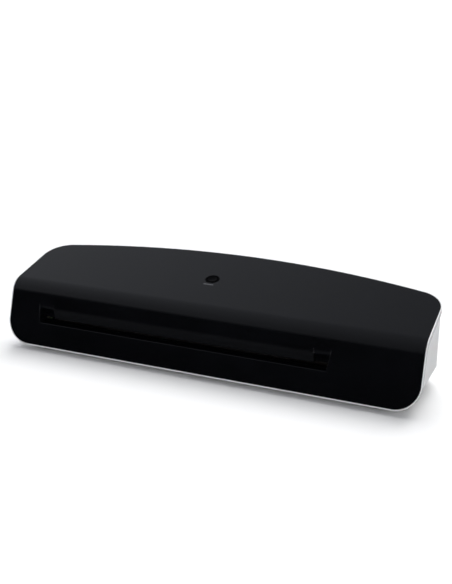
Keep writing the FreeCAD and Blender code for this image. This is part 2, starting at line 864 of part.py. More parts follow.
def idler_pin():
    end = gear_x + gear_width + 1.0
    pin = along_x(plate_right_x, end, idler_centre, idler_pin_radius - 0.02)
    collar = along_x(plate_right_x + side_plate_wall, gear_x - 0.2, idler_centre, idler_pin_radius + 0.5)
    clip = along_x(gear_x + gear_width + 0.2, end, idler_centre, idler_pin_radius + 1.2)
    return pin.fuse([collar, clip]).removeSplitter()


def screws_up(places, bottom, length):
    """Pan-head screws driven upward from the given height."""
    parts = []
    for x, y in places:
        head = rod(Vector(x, y, bottom), Vector(0, 0, 1), screw_head_radius, screw_head_height)
        recess = box(x - 1.5, x + 1.5, y - 0.35, y + 0.35, bottom - 1, bottom + 0.8)
        recess = recess.fuse(box(x - 0.35, x + 0.35, y - 1.5, y + 1.5, bottom - 1, bottom + 0.8))
        shank = rod(Vector(x, y, bottom), Vector(0, 0, 1), screw_radius - 0.15, length)
        parts.append(head.fuse(shank).cut(recess).removeSplitter())
    return Part.Compound(parts)


def screws_down(places, length):
    parts = []
    for x, y, z in places:
        head = rod(Vector(x, y, z), Vector(0, 0, 1), screw_head_radius, screw_head_height)
        shank = rod(Vector(x, y, z - length), Vector(0, 0, 1), screw_radius - 0.15, length)
        parts.append(head.fuse(shank).removeSplitter())
    return Part.Compound(parts)


def feet():
    front_x = body_length / 2 - low_corner_radius - foot_radius - 6
    rear_x = front_x - rear_foot_draw
    parts = []
    for side in (-1, 1):
        for x, y in ((front_x, front_y + foot_inset), (rear_x, rear_y - rear_bow)):
            pad = rod(Vector(side * x, y, 0), Vector(0, 0, 1), foot_radius, base_z + side_step)
            low = [e for e in pad.Edges if e.Closed and e.BoundBox.Center.z < 0.1]
            parts.append(pad.makeFillet(0.8, low))
    return Part.Compound(parts)


def rating_plate():
    y = front_y + sum(vent_rows) / 2
    x = slot_right + label_gap
    z = base_z + side_step
    plate = box(x, x + label_length, y - label_width / 2, y + label_width / 2, z - label_wall, z)
    upright = [e for e in plate.Edges if e.BoundBox.ZLength > label_wall / 2]
    return plate.makeFillet(2.0, upright)


def tie_bars():
    bars = []
    for n in (-tie_offset, tie_offset):
        place = on_path(exit_station + roller_spacing / 2, n)
        bar = along_x(plate_left_x + side_plate_wall, plate_right_x, place, tie_radius)
        tips = along_x(plate_left_x - 0.6, plate_right_x + side_plate_wall + 0.6, place,
                       tie_radius - 0.65)
        bars.append(bar.fuse(tips).removeSplitter())
    return Part.Compound(bars)


def power_board():
    beyond_inlet = inlet_x + inlet_half_span + inlet_wall + mains_board_gap
    x0 = max(motor_face_x + motor_depth + 5.5, beyond_inlet)
    y0 = front_y + 26
    z0 = case_floor_z + 3
    return box(x0, x0 + mains_board_wall, y0, y0 + mains_board_length, z0,
               z0 + mains_board_height)


def exit_guides():
    """Two sheets that lead the pouch from the exit rollers to the slot."""
    guides = []
    for sign in (-1, 1):
        n_lo, n_hi = sorted((sign * path_gap / 2, sign * (path_gap / 2 + 1.2)))
        middle = (n_lo + n_hi) / 2
        reach = sqrt((roller_radius + 1.0) ** 2 - (gear_pitch_radius - abs(middle) - 0.6) ** 2)
        start = (sill_back + guide_start - path_origin.y) / path_dir.y
        guides.append(path_box(plate_left_x + side_plate_wall, plate_right_x, start,
                               exit_station - reach, n_lo, n_hi))
    return Part.Compound(guides)


def heater_holders():
    parts = []
    middle = exit_station + roller_spacing / 2
    for sign in (-1, 1):
        n_lo, n_hi = sorted((sign * path_gap / 2, sign * (path_gap / 2 + plate_wall)))
        for x0, x1 in ((plate_left_x + side_plate_wall, roller_left), (roller_right, plate_right_x)):
            parts.append(path_box(x0, x1, middle - 4, middle + 4, n_lo, n_hi))
    return Part.Compound(parts)


def thermostat():
    _, s0, s1, n_back = heater_plate(True)
    middle = (s0 + s1) / 2
    base = path_box(roller_left + 1, roller_left + 10, middle - 4, middle + 4, n_back, n_back + 1.6)
    dome = rod(on_path(middle, n_back + 1.6) + Vector(roller_left + 5.5, 0, 0), path_up, 3.4, 1.2)
    return base.fuse(dome).removeSplitter()


def thermal_fuse():
    _, s0, s1, n_back = heater_plate(False)
    place = on_path((s0 + s1) / 2, n_back - 1.5)
    body = along_x(roller_left + 1.5, roller_left + 8.5, place, 1.5)
    leads = along_x(roller_left + 0.5, roller_left + 10.5, place, 0.4)
    return body.fuse(leads).removeSplitter()


os.makedirs("parts", exist_ok=True)

# casing
export("front_cover", front_cover())
export("rim_frame", rim_frame())
export("lower_case", lower_case())
export("lower_entry_guide", entry_guide(True).fuse(entry_cheeks()).removeSplitter())
export("upper_entry_guide", entry_guide(False))
export("exit_guides", exit_guides())
export("rubber_feet", feet())
export("case_screws", screws_up(post_places(), base_z + side_step + 1.0, boss_top + 6 - base_z))
export("rating_plate", rating_plate())

# button and its board
export("power_button", power_button())
export("button_ring", button_ring())
export("control_board", control_board())
export("tact_switch", tact_switch())
export("board_parts", board_parts())
export("board_screws", board_screws())

# frame
left_plate = side_plate(plate_left_x, False)
right_plate = side_plate(plate_right_x, True)
export("left_side_plate", left_plate)
export("right_side_plate", right_plate)
export("tie_bars", tie_bars())
export("roller_bushes", bushes())
foot_level = case_floor_z + plate_lift + side_plate_wall
export("frame_screws", screws_down([(x, y, foot_level) for x, y, _ in plate_bosses()], 8.0))

# rollers with their shafts and gears
path_turn = atan2(path_dir.z, path_dir.y)
idler_phase = mesh_phase(path_turn, roller_teeth, idler_teeth, path_turn)
entry_phase = mesh_phase(idler_phase, idler_teeth, roller_teeth, path_turn)
phases = {("exit", False): path_turn, ("entry", False): entry_phase}
for station_name in ("exit", "entry"):
    phases[(station_name, True)] = mesh_phase(phases[(station_name, False)], roller_teeth,
                                              roller_teeth, path_turn + pi / 2)
for (station_name, is_upper), phase in phases.items():
    centre = roller_centre(exit_station if station_name == "exit" else entry_station, is_upper)
    label = ("upper_" if is_upper else "lower_") + station_name
    export(label + "_roller", roller_sleeve(centre))
    export(label + "_shaft", roller_shaft(centre))
    export(label + "_gear", gear(centre, roller_teeth, phase, gear_x, shaft_radius,
                                 gear_hub_radius))

# heater
export("upper_heater_plate", heater_plate(True)[0])
export("lower_heater_plate", heater_plate(False)[0])
export("upper_heater_strip", heater_strip(True))
export("lower_heater_strip", heater_strip(False))
export("heater_holders", heater_holders())
export("thermostat", thermostat())
export("thermal_fuse", thermal_fuse())

# drive
export("idler_gear", gear(idler_centre, idler_teeth, idler_phase, gear_x,
                          idler_pin_radius + bearing_clearance, gear_hub_radius))
export("idler_pin", idler_pin())
pinion_phase = mesh_phase(idler_phase, idler_teeth, pinion_teeth, path_turn + pi / 2)
export("motor_pinion", gear(pinion_centre, pinion_teeth, pinion_phase, gear_x,
                            motor_shaft_radius, 3.2))
export("drive_motor", motor())
export("motor_shaft", motor_shaft())
export("motor_stand", motor_stand())
export("motor_screws", motor_screws())

# mains
export("power_board", power_board())
export("mains_inlet", mains_inlet())
export("inlet_pins", inlet_pin_rods())
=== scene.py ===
import bpy
import bmesh
from math import cos, radians, sin
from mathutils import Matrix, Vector


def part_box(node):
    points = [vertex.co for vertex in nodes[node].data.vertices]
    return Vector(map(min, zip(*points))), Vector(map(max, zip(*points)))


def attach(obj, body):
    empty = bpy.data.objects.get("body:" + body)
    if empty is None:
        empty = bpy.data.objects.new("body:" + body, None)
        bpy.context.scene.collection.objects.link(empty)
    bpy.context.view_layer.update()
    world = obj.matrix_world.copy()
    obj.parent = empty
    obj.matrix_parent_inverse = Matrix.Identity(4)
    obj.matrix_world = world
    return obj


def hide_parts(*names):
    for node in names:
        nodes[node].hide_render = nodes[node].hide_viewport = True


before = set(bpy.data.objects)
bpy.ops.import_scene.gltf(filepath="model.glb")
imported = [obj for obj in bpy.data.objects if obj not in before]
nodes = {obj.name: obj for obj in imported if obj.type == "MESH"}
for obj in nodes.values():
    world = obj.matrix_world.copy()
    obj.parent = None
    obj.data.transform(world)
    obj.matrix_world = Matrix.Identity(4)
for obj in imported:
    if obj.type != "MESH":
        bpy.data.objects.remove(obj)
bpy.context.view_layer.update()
mm = 0.001
print("frame loaded:", len(nodes), "nodes")

# Bodies that turn or slide, and the nodes on each. Everything else rides on root.
movingParts = {
    "power_button": ["power_button"],
    "lower_exit_roller": ["lower_exit_roller", "lower_exit_shaft", "lower_exit_gear"],
    "upper_exit_roller": ["upper_exit_roller", "upper_exit_shaft", "upper_exit_gear"],
    "lower_entry_roller": ["lower_entry_roller", "lower_entry_shaft", "lower_entry_gear"],
    "upper_entry_roller": ["upper_entry_roller", "upper_entry_shaft", "upper_entry_gear"],
    "idler": ["idler_gear"],
    "motor_pinion": ["motor_pinion", "motor_shaft"],
}
bodyOf = {node: body for body, held in movingParts.items() for node in held}


# A shader socket for use in Python expressions: each operator adds its Math node.
class Wire:
    def __init__(self, tree, socket=None):
        self.tree = tree
        self.socket = socket

    # Adds any node: its settings first, then the values or wires of its sockets.
    def add(self, kind, settings=None, sockets=None, out=0):
        made = self.tree.nodes.new("ShaderNode" + kind)
        for name, value in (settings or {}).items():
            setattr(made, name, value)
        for name, value in (sockets or {}).items():
            if isinstance(value, Wire):
                self.tree.links.new(value.socket, made.inputs[name])
            else:
                made.inputs[name].default_value = value
        return Wire(self.tree, made.outputs[out])

    def maths(self, operation, first, second):
        return self.add("Math", {"operation": operation}, {0: first, 1: second})

    def __add__(self, other):
        return self.maths("ADD", self, other)

    def __radd__(self, other):
        return self.maths("ADD", other, self)

    def __sub__(self, other):
        return self.maths("SUBTRACT", self, other)

    def __rsub__(self, other):
        return self.maths("SUBTRACT", other, self)

    def __mul__(self, other):
        return self.maths("MULTIPLY", self, other)

    def __rmul__(self, other):
        return self.maths("MULTIPLY", other, self)

    def __truediv__(self, other):
        return self.maths("DIVIDE", self, other)

    def magnitude(self):
        return self.add("Math", {"operation": "ABSOLUTE"}, {0: self})

    def floor(self):
        return self.add("Math", {"operation": "FLOOR"}, {0: self})

    # The value stretched from one span to another, held at its ends.
    def between(self, low, high, newLow=0.0, newHigh=1.0):
        spans = {"From Min": low, "From Max": high, "To Min": newLow, "To Max": newHigh}
        return self.add("MapRange", {"clamp": True}, {"Value": self, **spans})


# A finish is a material on the way: its first wire, and the shader that takes the results.
def startFinish(name, even):
    material = bpy.data.materials.new(name)
    material.use_nodes = True
    shader = material.node_tree.nodes["Principled BSDF"]
    for socket, value in even.items():
        shader.inputs[socket].default_value = value
    return material, Wire(material.node_tree), shader


def connect(shader, **wires):
    names = {"colour": "Base Color", "roughness": "Roughness", "normal": "Normal"}
    for key, wire in wires.items():
        wire.tree.links.new(wire.socket, shader.inputs[names[key]])


# Soft cloudy variation whose patches are about size metres across.
def clouds(wire, size, detail=2.0, stretch=(1, 1, 1), hardness=0.5):
    place = wire.add("TexCoord", out="Object")
    spread = wire.add("Mapping", None, {"Vector": place, "Scale": stretch})
    sockets = {"Vector": spread, "Scale": 1 / size, "Detail": detail, "Roughness": hardness}
    return wire.add("TexNoise", None, sockets)


# Distance to the nearest of many scattered points, about size metres apart.
def cells(wire, size):
    place = wire.add("TexCoord", out="Object")
    return wire.add("TexVoronoi", None, {"Vector": place, "Scale": 1 / size}, "Distance")


# The colour goes from the first to the second with the mask. The first may be a wire.
def tint(mask, first, second):
    under = first if isinstance(first, Wire) else (*first, 1)
    sockets = {"Factor": mask, 6: under, 7: (*second, 1)}
    return mask.add("Mix", {"data_type": "RGBA"}, sockets, out=2)


def relief(height, depth, under=None):
    sockets = {"Height": height, "Distance": depth, "Strength": 1.0}
    if under:
        sockets["Normal"] = under
    return height.add("Bump", None, sockets)


# One on the rounded edges of a piece and nought on its flats.
def edgeMask(wire, radius):
    rounded = wire.add("Bevel", {"samples": 4}, {"Radius": radius})
    straight = wire.add("NewGeometry", out="Normal")
    pair = {0: rounded, 1: straight}
    facing = wire.add("VectorMath", {"operation": "DOT_PRODUCT"}, pair, "Value")
    return (1 - facing).between(0.02, 0.25)


coverLook = {
    "colour": (0.0014, 0.0016, 0.0024),
    "patchy": 1.35,            # how much lighter the handled patches are
    "handling": 0.035,         # size of those patches, metres
    # Rounded edges painted lighter: partly wear, and partly a painted highlight where the edges
    # catch light.
    "edgeWearAndHighlight": (0.11, 0.11, 0.115),
    "edgeWearAndHighlightShare": 0.55,
    "edgeWearAndHighlightRadius": 0.0006,
    "dust": (0.06, 0.06, 0.062),
    "dustShare": 0.12,
    "dustApart": 0.004,
    "mark": (0.085, 0.087, 0.095),
    "markShare": 0.75,
    "markSize": (0.0084, 0.0014),   # a plain printed dash in front of the button
    "markGap": 0.0086,         # from the button's middle to the dash's
    "markBlur": 0.0003,
    "roughness": 0.22,
    "gloss": 0.30,
    "grain": 0.00022,          # moulding texture, metres across
    "grainDepth": 0.0000022,
    "wave": 0.05,              # long shallow unevenness of the sheet
    "waveDepth": 0.00008,
}


# One inside a plain dash in front of the power button, with soft printed edges.
def printedDash(wire, look):
    low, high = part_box("power_button")
    middle = (low + high) / 2
    halfLong, halfWide = look["markSize"][0] / 2, look["markSize"][1] / 2
    place = wire.add("TexCoord", out="Object")
    along = wire.add("SeparateXYZ", None, {0: place}, "X") - middle.x
    across = wire.add("SeparateXYZ", None, {0: place}, "Y") - (middle.y - look["markGap"])
    blur = look["markBlur"]
    inLong = along.magnitude().between(halfLong - blur, halfLong + blur, 1, 0)
    return inLong * across.magnitude().between(halfWide - blur, halfWide + blur, 1, 0)


def satinBlack(look):
    material, wire, shader = startFinish("satinBlack", {"Specular IOR Level": look["gloss"]})
    patches = clouds(wire, look["handling"], 3)
    fine = clouds(wire, look["grain"], 1)
    wave = clouds(wire, look["wave"], 1)
    dust = cells(wire, look["dustApart"]).between(0.02, 0.055, 1, 0)
    edges = edgeMask(wire, look["edgeWearAndHighlightRadius"])
    lighter = [c * look["patchy"] for c in look["colour"]]
    body = tint(patches.between(0.35, 0.7), look["colour"], lighter)
    # Lighter rounded edges: partly wear, partly a painted highlight along the edges.
    body = tint(edges * look["edgeWearAndHighlightShare"], body, look["edgeWearAndHighlight"])
    body = tint(printedDash(wire, look) * look["markShare"], body, look["mark"])
    uneven = (patches - 0.5) * 0.10 + (fine - 0.5) * 0.05 + dust * 0.1 - edges * 0.05
    connect(shader, colour=tint(dust * look["dustShare"], body, look["dust"]),
            roughness=look["roughness"] + uneven,
            normal=relief(fine, look["grainDepth"], relief(wave, look["waveDepth"])))
    return material


rimLook = {
    "colour": (0.84, 0.845, 0.85),
    "shade": (0.78, 0.785, 0.79),
    "roughness": 0.24,
    "grain": 0.0006,
    "grainDepth": 0.000002,
}
caseLook = {
    "colour": (0.83, 0.835, 0.845),
    "shade": (0.77, 0.775, 0.78),
    "roughness": 0.42,
    "grain": 0.00035,
    "grainDepth": 0.000008,
}
shellWear = {
    "patchSize": 0.03,
    "scuff": (0.62, 0.61, 0.60),
    "scuffShare": 0.10,
    "scuffSize": 0.002,
    "scuffStretch": (0.15, 1.0, 1.0),
    "sink": 0.012,             # shallow sink marks of the moulding
    "sinkDepth": 0.00002,
    "softness": 0.04,          # light that goes a little way into the plastic
    "softReach": 0.002,
}


def whiteShell(name, look, wear):
    even = {"Subsurface Weight": wear["softness"], "Subsurface Scale": wear["softReach"]}
    material, wire, shader = startFinish(name, even)
    patches = clouds(wire, wear["patchSize"], 3)
    fine = clouds(wire, look["grain"], 2)
    scuffs = clouds(wire, wear["scuffSize"], 4, wear["scuffStretch"], 0.7).between(0.62, 0.78)
    sinks = clouds(wire, wear["sink"], 2)
    body = tint(patches, look["shade"], look["colour"])
    uneven = (patches - 0.5) * 0.12 + (fine - 0.5) * 0.06 + scuffs * 0.08
    connect(shader, colour=tint(scuffs * wear["scuffShare"], body, wear["scuff"]),
            roughness=look["roughness"] + uneven,
            normal=relief(fine, look["grainDepth"], relief(sinks, wear["sinkDepth"])))
    return material


guideLook = {
    "colour": (0.010, 0.010, 0.011),
    "speckle": (0.020, 0.020, 0.022),
    "rubbed": (0.045, 0.045, 0.047),
    "rubbedShare": 0.3,
    "rubSize": 0.003,
    "rubStretch": (1.0, 0.12, 0.12),
    "roughness": 0.46,
    "gloss": 0.45,
    "grain": 0.0004,
    "grainDepth": 0.000012,
}


def texturedBlack(look):
    material, wire, shader = startFinish("texturedBlack", {"Specular IOR Level": look["gloss"]})
    fine = clouds(wire, look["grain"], 3)
    rubs = clouds(wire, look["rubSize"], 3, look["rubStretch"], 0.6).between(0.55, 0.8)
    body = tint(fine, look["colour"], look["speckle"])
    connect(shader, colour=tint(rubs * look["rubbedShare"], body, look["rubbed"]),
            roughness=look["roughness"] + (fine - 0.5) * 0.2 - rubs * 0.1,
            normal=relief(fine, look["grainDepth"]))
    return material


buttonLook = {
    "colour": (0.0008, 0.0008, 0.0010),
    "smudged": (0.0020, 0.0020, 0.0024),
    "smudgeSize": 0.002,
    "roughness": 0.10,
    "gloss": 0.02,
    "hairs": 0.0005,               # fine scratches
    "hairStretch": (0.08, 1.0, 1.0),
    "hairDepth": 0.000001,
    "paintedHighlight": (0.55, 0.56, 0.60),    # painted highlight: a pale dot in the ring's colour, where a small bright spot shows
    "paintedHighlightRadius": 0.00055,
    "paintedHighlightInset": 0.0011,           # from the ring's right edge
}


def polishedBlack(look):
    material, wire, shader = startFinish("polishedBlack", {"Specular IOR Level": look["gloss"]})
    smudge = clouds(wire, look["smudgeSize"], 3)
    hairs = clouds(wire, look["hairs"], 2, look["hairStretch"], 0.7).between(0.6, 0.8)
    low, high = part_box("button_ring")
    middle = (low + high) / 2
    # A pale dot painted into the ring's colour near its right edge: a painted highlight, not a
    # lamp.
    highlightSpot = Vector((high.x - look["paintedHighlightInset"], middle.y, middle.z))
    place = wire.add("TexCoord", out="Object")
    away = wire.add("VectorMath", {"operation": "DISTANCE"}, {0: place, 1: highlightSpot}, "Value")
    highlightMask = away.between(look["paintedHighlightRadius"], look["paintedHighlightRadius"] * 1.6, 1, 0)
    black = tint(smudge, look["colour"], look["smudged"])
    connect(shader, colour=tint(highlightMask, black, look["paintedHighlight"]),
            roughness=look["roughness"] + smudge.between(0.4, 0.8) * 0.10 + hairs * 0.06,
            normal=relief(hairs, look["hairDepth"]))
    return material


rubberLook = {
    "colour": (0.022, 0.022, 0.023),
    "dusty": (0.075, 0.073, 0.070),
    "dustyShare": 0.6,
    "dustSize": 0.004,
    "roughness": 0.82,
    "gloss": 0.3,
    "grain": 0.0005,
    "grainDepth": 0.00003,
}


def mattRubber(look):
    material, wire, shader = startFinish("mattRubber", {"Specular IOR Level": look["gloss"]})
    fine = clouds(wire, look["grain"], 4)
    dusty = clouds(wire, look["dustSize"], 4, hardness=0.7).between(0.5, 0.75)
    connect(shader, colour=tint(dusty * look["dustyShare"], look["colour"], look["dusty"]),
            roughness=look["roughness"] + (fine - 0.5) * 0.2,
            normal=relief(fine, look["grainDepth"]))
    return material


# line and stretch are the size and the run of the marks that the making left.
steelLook = {"colour": (0.56, 0.565, 0.58), "dark": (0.34, 0.345, 0.36), "roughness": 0.26,
             "line": 0.0006, "stretch": (1.0, 0.15, 0.15), "lineDepth": 0.000003}
aluminiumLook = {"colour": (0.80, 0.81, 0.82), "dark": (0.64, 0.65, 0.66), "roughness": 0.34,
                 "line": 0.0005, "stretch": (0.03, 1, 1), "lineDepth": 0.000005}
brassLook = {"colour": (0.80, 0.61, 0.29), "dark": (0.52, 0.37, 0.15), "roughness": 0.28,
             "line": 0.0005, "stretch": (1.0, 0.2, 0.2), "lineDepth": 0.000003}
metalWear = {"stainSize": 0.009, "markSize": 0.0015, "markStretch": (1.0, 0.2, 1.0)}


def workedMetal(name, look, wear):
    material, wire, shader = startFinish(name, {"Metallic": 1.0})
    lines = clouds(wire, look["line"], 3, look["stretch"], 0.6)
    stains = clouds(wire, wear["stainSize"], 4, hardness=0.65)
    marks = clouds(wire, wear["markSize"], 2, wear["markStretch"], 0.7).between(0.66, 0.8)
    uneven = (lines - 0.5) * 0.18 + (stains - 0.5) * 0.14 + marks * 0.1
    connect(shader, colour=tint(stains.between(0.3, 0.75), look["colour"], look["dark"]),
            roughness=look["roughness"] + uneven,
            normal=relief(lines, look["lineDepth"]))
    return material


zincLook = {
    "colour": (0.66, 0.68, 0.70),
    "dark": (0.50, 0.515, 0.53),
    "roughness": 0.36,
    "flakeSize": 0.0045,
    "rolled": 0.0012,          # lines left by the rolling mill
    "rolledStretch": (0.1, 1.0, 1.0),
    "rolledDepth": 0.000004,
}


def platedSheet(look):
    material, wire, shader = startFinish("platedSheet", {"Metallic": 1.0})
    flakes = cells(wire, look["flakeSize"])
    rolled = clouds(wire, look["rolled"], 3, look["rolledStretch"], 0.6)
    connect(shader, colour=tint(flakes.between(0.0, 0.8), look["colour"], look["dark"]),
            roughness=look["roughness"] + (flakes - 0.4) * 0.16 + (rolled - 0.5) * 0.12,
            normal=relief(rolled, look["rolledDepth"]))
    return material


nylonLook = {"colour": (0.80, 0.77, 0.68), "shade": (0.70, 0.66, 0.55), "roughness": 0.38,
             "grain": 0.0006, "grainDepth": 0.000006, "softness": 0.15, "softReach": 0.002}
siliconeLook = {"colour": (0.030, 0.026, 0.026), "shade": (0.050, 0.043, 0.041),
                "roughness": 0.52, "grain": 0.0012, "grainDepth": 0.00001}
componentLook = {"colour": (0.016, 0.016, 0.018), "shade": (0.030, 0.030, 0.032),
                 "roughness": 0.45, "grain": 0.0003, "grainDepth": 0.000008}
ceramicLook = {"colour": (0.72, 0.64, 0.46), "shade": (0.52, 0.42, 0.25), "roughness": 0.5,
               "grain": 0.0007, "grainDepth": 0.00002}
castPatches = 0.006            # size of the cloudy patches, metres


# Plain moulded or cast pieces inside: cloudy tone and fine grain.
def castFinish(name, look):
    even = {}
    if "softness" in look:
        even = {"Subsurface Weight": look["softness"], "Subsurface Scale": look["softReach"]}
    material, wire, shader = startFinish(name, even)
    patches = clouds(wire, castPatches, 4)
    fine = clouds(wire, look["grain"], 3)
    connect(shader, colour=tint(patches.between(0.3, 0.7), look["colour"], look["shade"]),
            roughness=look["roughness"] + (patches - 0.5) * 0.18 + (fine - 0.5) * 0.12,
            normal=relief(fine, look["grainDepth"]))
    return material


boardLook = {
    "colour": (0.020, 0.120, 0.050),
    "track": (0.035, 0.200, 0.085),
    "trackWidth": 0.0005,
    "trackRun": 0.012,         # length of a lane between two turns
    "trackPitch": 0.0026,
    "trackDepth": 0.00003,
    "weave": 0.0008,
    "weaveStretch": (1, 0.4, 0.4),
    "weaveDepth": 0.000006,
    "roughness": 0.3,
    "coat": 0.3,
}


def solderResist(look):
    material, wire, shader = startFinish("solderResist", {"Coat Weight": look["coat"]})
    place = wire.add("TexCoord", out="Object")
    laid = {"Vector": place, "Scale": 1.0, "Mortar Size": look["trackWidth"],
            "Brick Width": look["trackRun"], "Row Height": look["trackPitch"],
            "Mortar Smooth": 0.1}
    lanes = wire.add("TexBrick", {"offset": 0.37, "squash": 1.0}, laid, "Fac")
    weave = clouds(wire, look["weave"], 2, look["weaveStretch"])
    connect(shader, colour=tint(lanes, look["colour"], look["track"]),
            roughness=look["roughness"] + (weave - 0.5) * 0.15 + lanes * 0.06,
            normal=relief(lanes, look["trackDepth"], relief(weave, look["weaveDepth"])))
    return material


labelLook = {
    "colour": (0.62, 0.63, 0.65),
    "bars": (0.10, 0.10, 0.11),
    "rows": 9,
    "columns": 11,
    "border": (0.06, 0.10),    # shares of the label left clear at its ends and its edges
    "filled": 0.34,            # share of the bars that are left out
    "sheen": 0.35,
    "roughness": 0.42,
    "brushed": 0.0006,
    "brushedStretch": (0.1, 1, 1),
    "scuffSize": 0.004,
    "depth": 0.000008,
}


# A plain silvery label: a border and rows of bars, with no lettering.
def labelFinish(look):
    low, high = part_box("rating_plate")
    material, wire, shader = startFinish("plainLabel", {"Metallic": look["sheen"]})
    place = wire.add("TexCoord", out="Object")
    across = wire.add("SeparateXYZ", None, {0: place}, "X").between(low.x, high.x)
    up = wire.add("SeparateXYZ", None, {0: place}, "Y").between(low.y, high.y)
    number = (up * look["rows"]).floor()
    row = up * look["rows"] - number
    place = wire.add("CombineXYZ", None, {0: number, 1: (across * look["columns"]).floor()})
    words = wire.add("TexWhiteNoise", {"noise_dimensions": "2D"}, {"Vector": place}, "Value")
    ends, edges = look["border"]
    crisp = 0.005
    inside = (across.between(ends, ends + crisp)
              * across.between(1 - ends - 2 * crisp, 1 - ends - crisp, 1, 0))
    inside = inside * up.between(edges, edges + crisp)
    inside = inside * up.between(1 - edges - 2 * crisp, 1 - edges - crisp, 1, 0)
    inRow = row.between(0.30, 0.32) * row.between(0.58, 0.60, 1, 0)
    bars = inRow * inside * words.between(look["filled"], look["filled"] + 0.02)
    fine = clouds(wire, look["brushed"], 2, look["brushedStretch"])
    scuffs = clouds(wire, look["scuffSize"], 4, hardness=0.7).between(0.55, 0.8)
    uneven = (fine - 0.5) * 0.1 + bars * 0.15 + scuffs * 0.1
    connect(shader, colour=tint(bars, look["colour"], look["bars"]),
            roughness=look["roughness"] + uneven,
            normal=relief(bars + fine * 0.2, look["depth"]))
    return material


finishes = {
    "cover": satinBlack(coverLook),
    "rim": whiteShell("glossWhite", rimLook, shellWear),
    "case": whiteShell("fineWhite", caseLook, shellWear),
    "guide": texturedBlack(guideLook),
    "button": polishedBlack(buttonLook),
    "rubber": mattRubber(rubberLook),
    "steel": workedMetal("turnedSteel", steelLook, metalWear),
    "sheet": platedSheet(zincLook),
    "aluminium": workedMetal("extrudedAluminium", aluminiumLook, metalWear),
    "brass": workedMetal("turnedBrass", brassLook, metalWear),
    "nylon": castFinish("naturalNylon", nylonLook),
    "silicone": castFinish("darkSilicone", siliconeLook),
    "ceramic": castFinish("micaStrip", ceramicLook),
    "board": solderResist(boardLook),
    "part": castFinish("componentBlack", componentLook),
    "label": labelFinish(labelLook),
}
print("finishes made:", len(finishes))


# Pieces whose edges lie too close together for a full corner, which would cross itself.
crowdedEdges = ("power_button", "button_ring")
corners = {
    "joined": 0.003,           # millimetres under which two points of a node's mesh are one
    "flat": 1.0,               # degrees under which two faces are one
    "sharp": 28.0,             # degrees over which an edge gets a corner
    "steps": 2,
}


# A node's own mesh, cleaned to its true edges, with the small corners it really has.
def softened(node, name, corner):
    shape = bmesh.new()
    shape.from_mesh(nodes[node].data)
    bmesh.ops.remove_doubles(shape, verts=shape.verts, dist=corners["joined"] * mm)
    bmesh.ops.dissolve_limit(shape, angle_limit=radians(corners["flat"]), verts=shape.verts,
                             edges=shape.edges)
    for face in shape.faces:
        face.smooth = True
        face.material_index = 0
    mesh = bpy.data.meshes.new(name)
    shape.to_mesh(mesh)
    shape.free()
    piece = bpy.data.objects.new(name, mesh)
    bpy.context.scene.collection.objects.link(piece)
    bevel = piece.modifiers.new("corners", "BEVEL")
    bevel.width = corner * mm
    bevel.segments = corners["steps"]
    bevel.limit_method = "ANGLE"
    bevel.angle_limit = radians(corners["sharp"])
    bevel.use_clamp_overlap = node in crowdedEdges
    bevel.miter_outer = "MITER_ARC"
    even = piece.modifiers.new("evenNormals", "WEIGHTED_NORMAL")
    even.mode = "FACE_AREA"
    even.weight = 100
    return piece


def fit(piece, node, finish):
    piece.data.materials.clear()
    piece.data.materials.append(finishes[finish])
    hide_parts(node)
    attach(piece, bodyOf.get(node, "root"))
    return piece


# node: finish, corner radius in millimetres
outsidePieces = {
    "front_cover": ("cover", 0.35),
    "rim_frame": ("rim", 0.30),
    "lower_case": ("case", 0.40),
    "lower_entry_guide": ("guide", 0.25),
    "upper_entry_guide": ("guide", 0.25),
    "exit_guides": ("guide", 0.20),
    "rubber_feet": ("rubber", 0.30),
    "case_screws": ("steel", 0.15),
    "rating_plate": ("label", 0.05),
    "power_button": ("button", 0.12),
    "button_ring": ("button", 0.12),
    "mains_inlet": ("guide", 0.25),
    "inlet_pins": ("brass", 0.35),
}
insidePieces = {
    "control_board": ("board", 0.08),
    "tact_switch": ("part", 0.10),
    "board_parts": ("part", 0.15),
    "board_screws": ("steel", 0.15),
    "left_side_plate": ("sheet", 0.15),
    "right_side_plate": ("sheet", 0.15),
    "tie_bars": ("steel", 0.20),
    "roller_bushes": ("nylon", 0.15),
    "frame_screws": ("steel", 0.20),
    "upper_heater_plate": ("aluminium", 0.30),
    "lower_heater_plate": ("aluminium", 0.30),
    "upper_heater_strip": ("ceramic", 0.15),
    "lower_heater_strip": ("ceramic", 0.15),
    "heater_holders": ("nylon", 0.25),
    "thermostat": ("part", 0.20),
    "thermal_fuse": ("steel", 0.10),
    "idler_pin": ("steel", 0.15),
    "drive_motor": ("sheet", 0.15),
    "motor_stand": ("sheet", 0.15),
    "motor_screws": ("steel", 0.15),
    "power_board": ("board", 0.08),
    "motor_pinion": ("brass", 0.06),
    "motor_shaft": ("steel", 0.20),
    "idler_gear": ("nylon", 0.06),
}
for which in ("lower_exit", "upper_exit", "lower_entry", "upper_entry"):
    insidePieces[which + "_roller"] = ("silicone", 0.50)
    insidePieces[which + "_shaft"] = ("steel", 0.25)
    insidePieces[which + "_gear"] = ("nylon", 0.06)

for group in (outsidePieces, insidePieces):
    for node, (finish, corner) in group.items():
        fit(softened(node, node + "_piece", corner), node, finish)
    print("pieces made:", len(group))


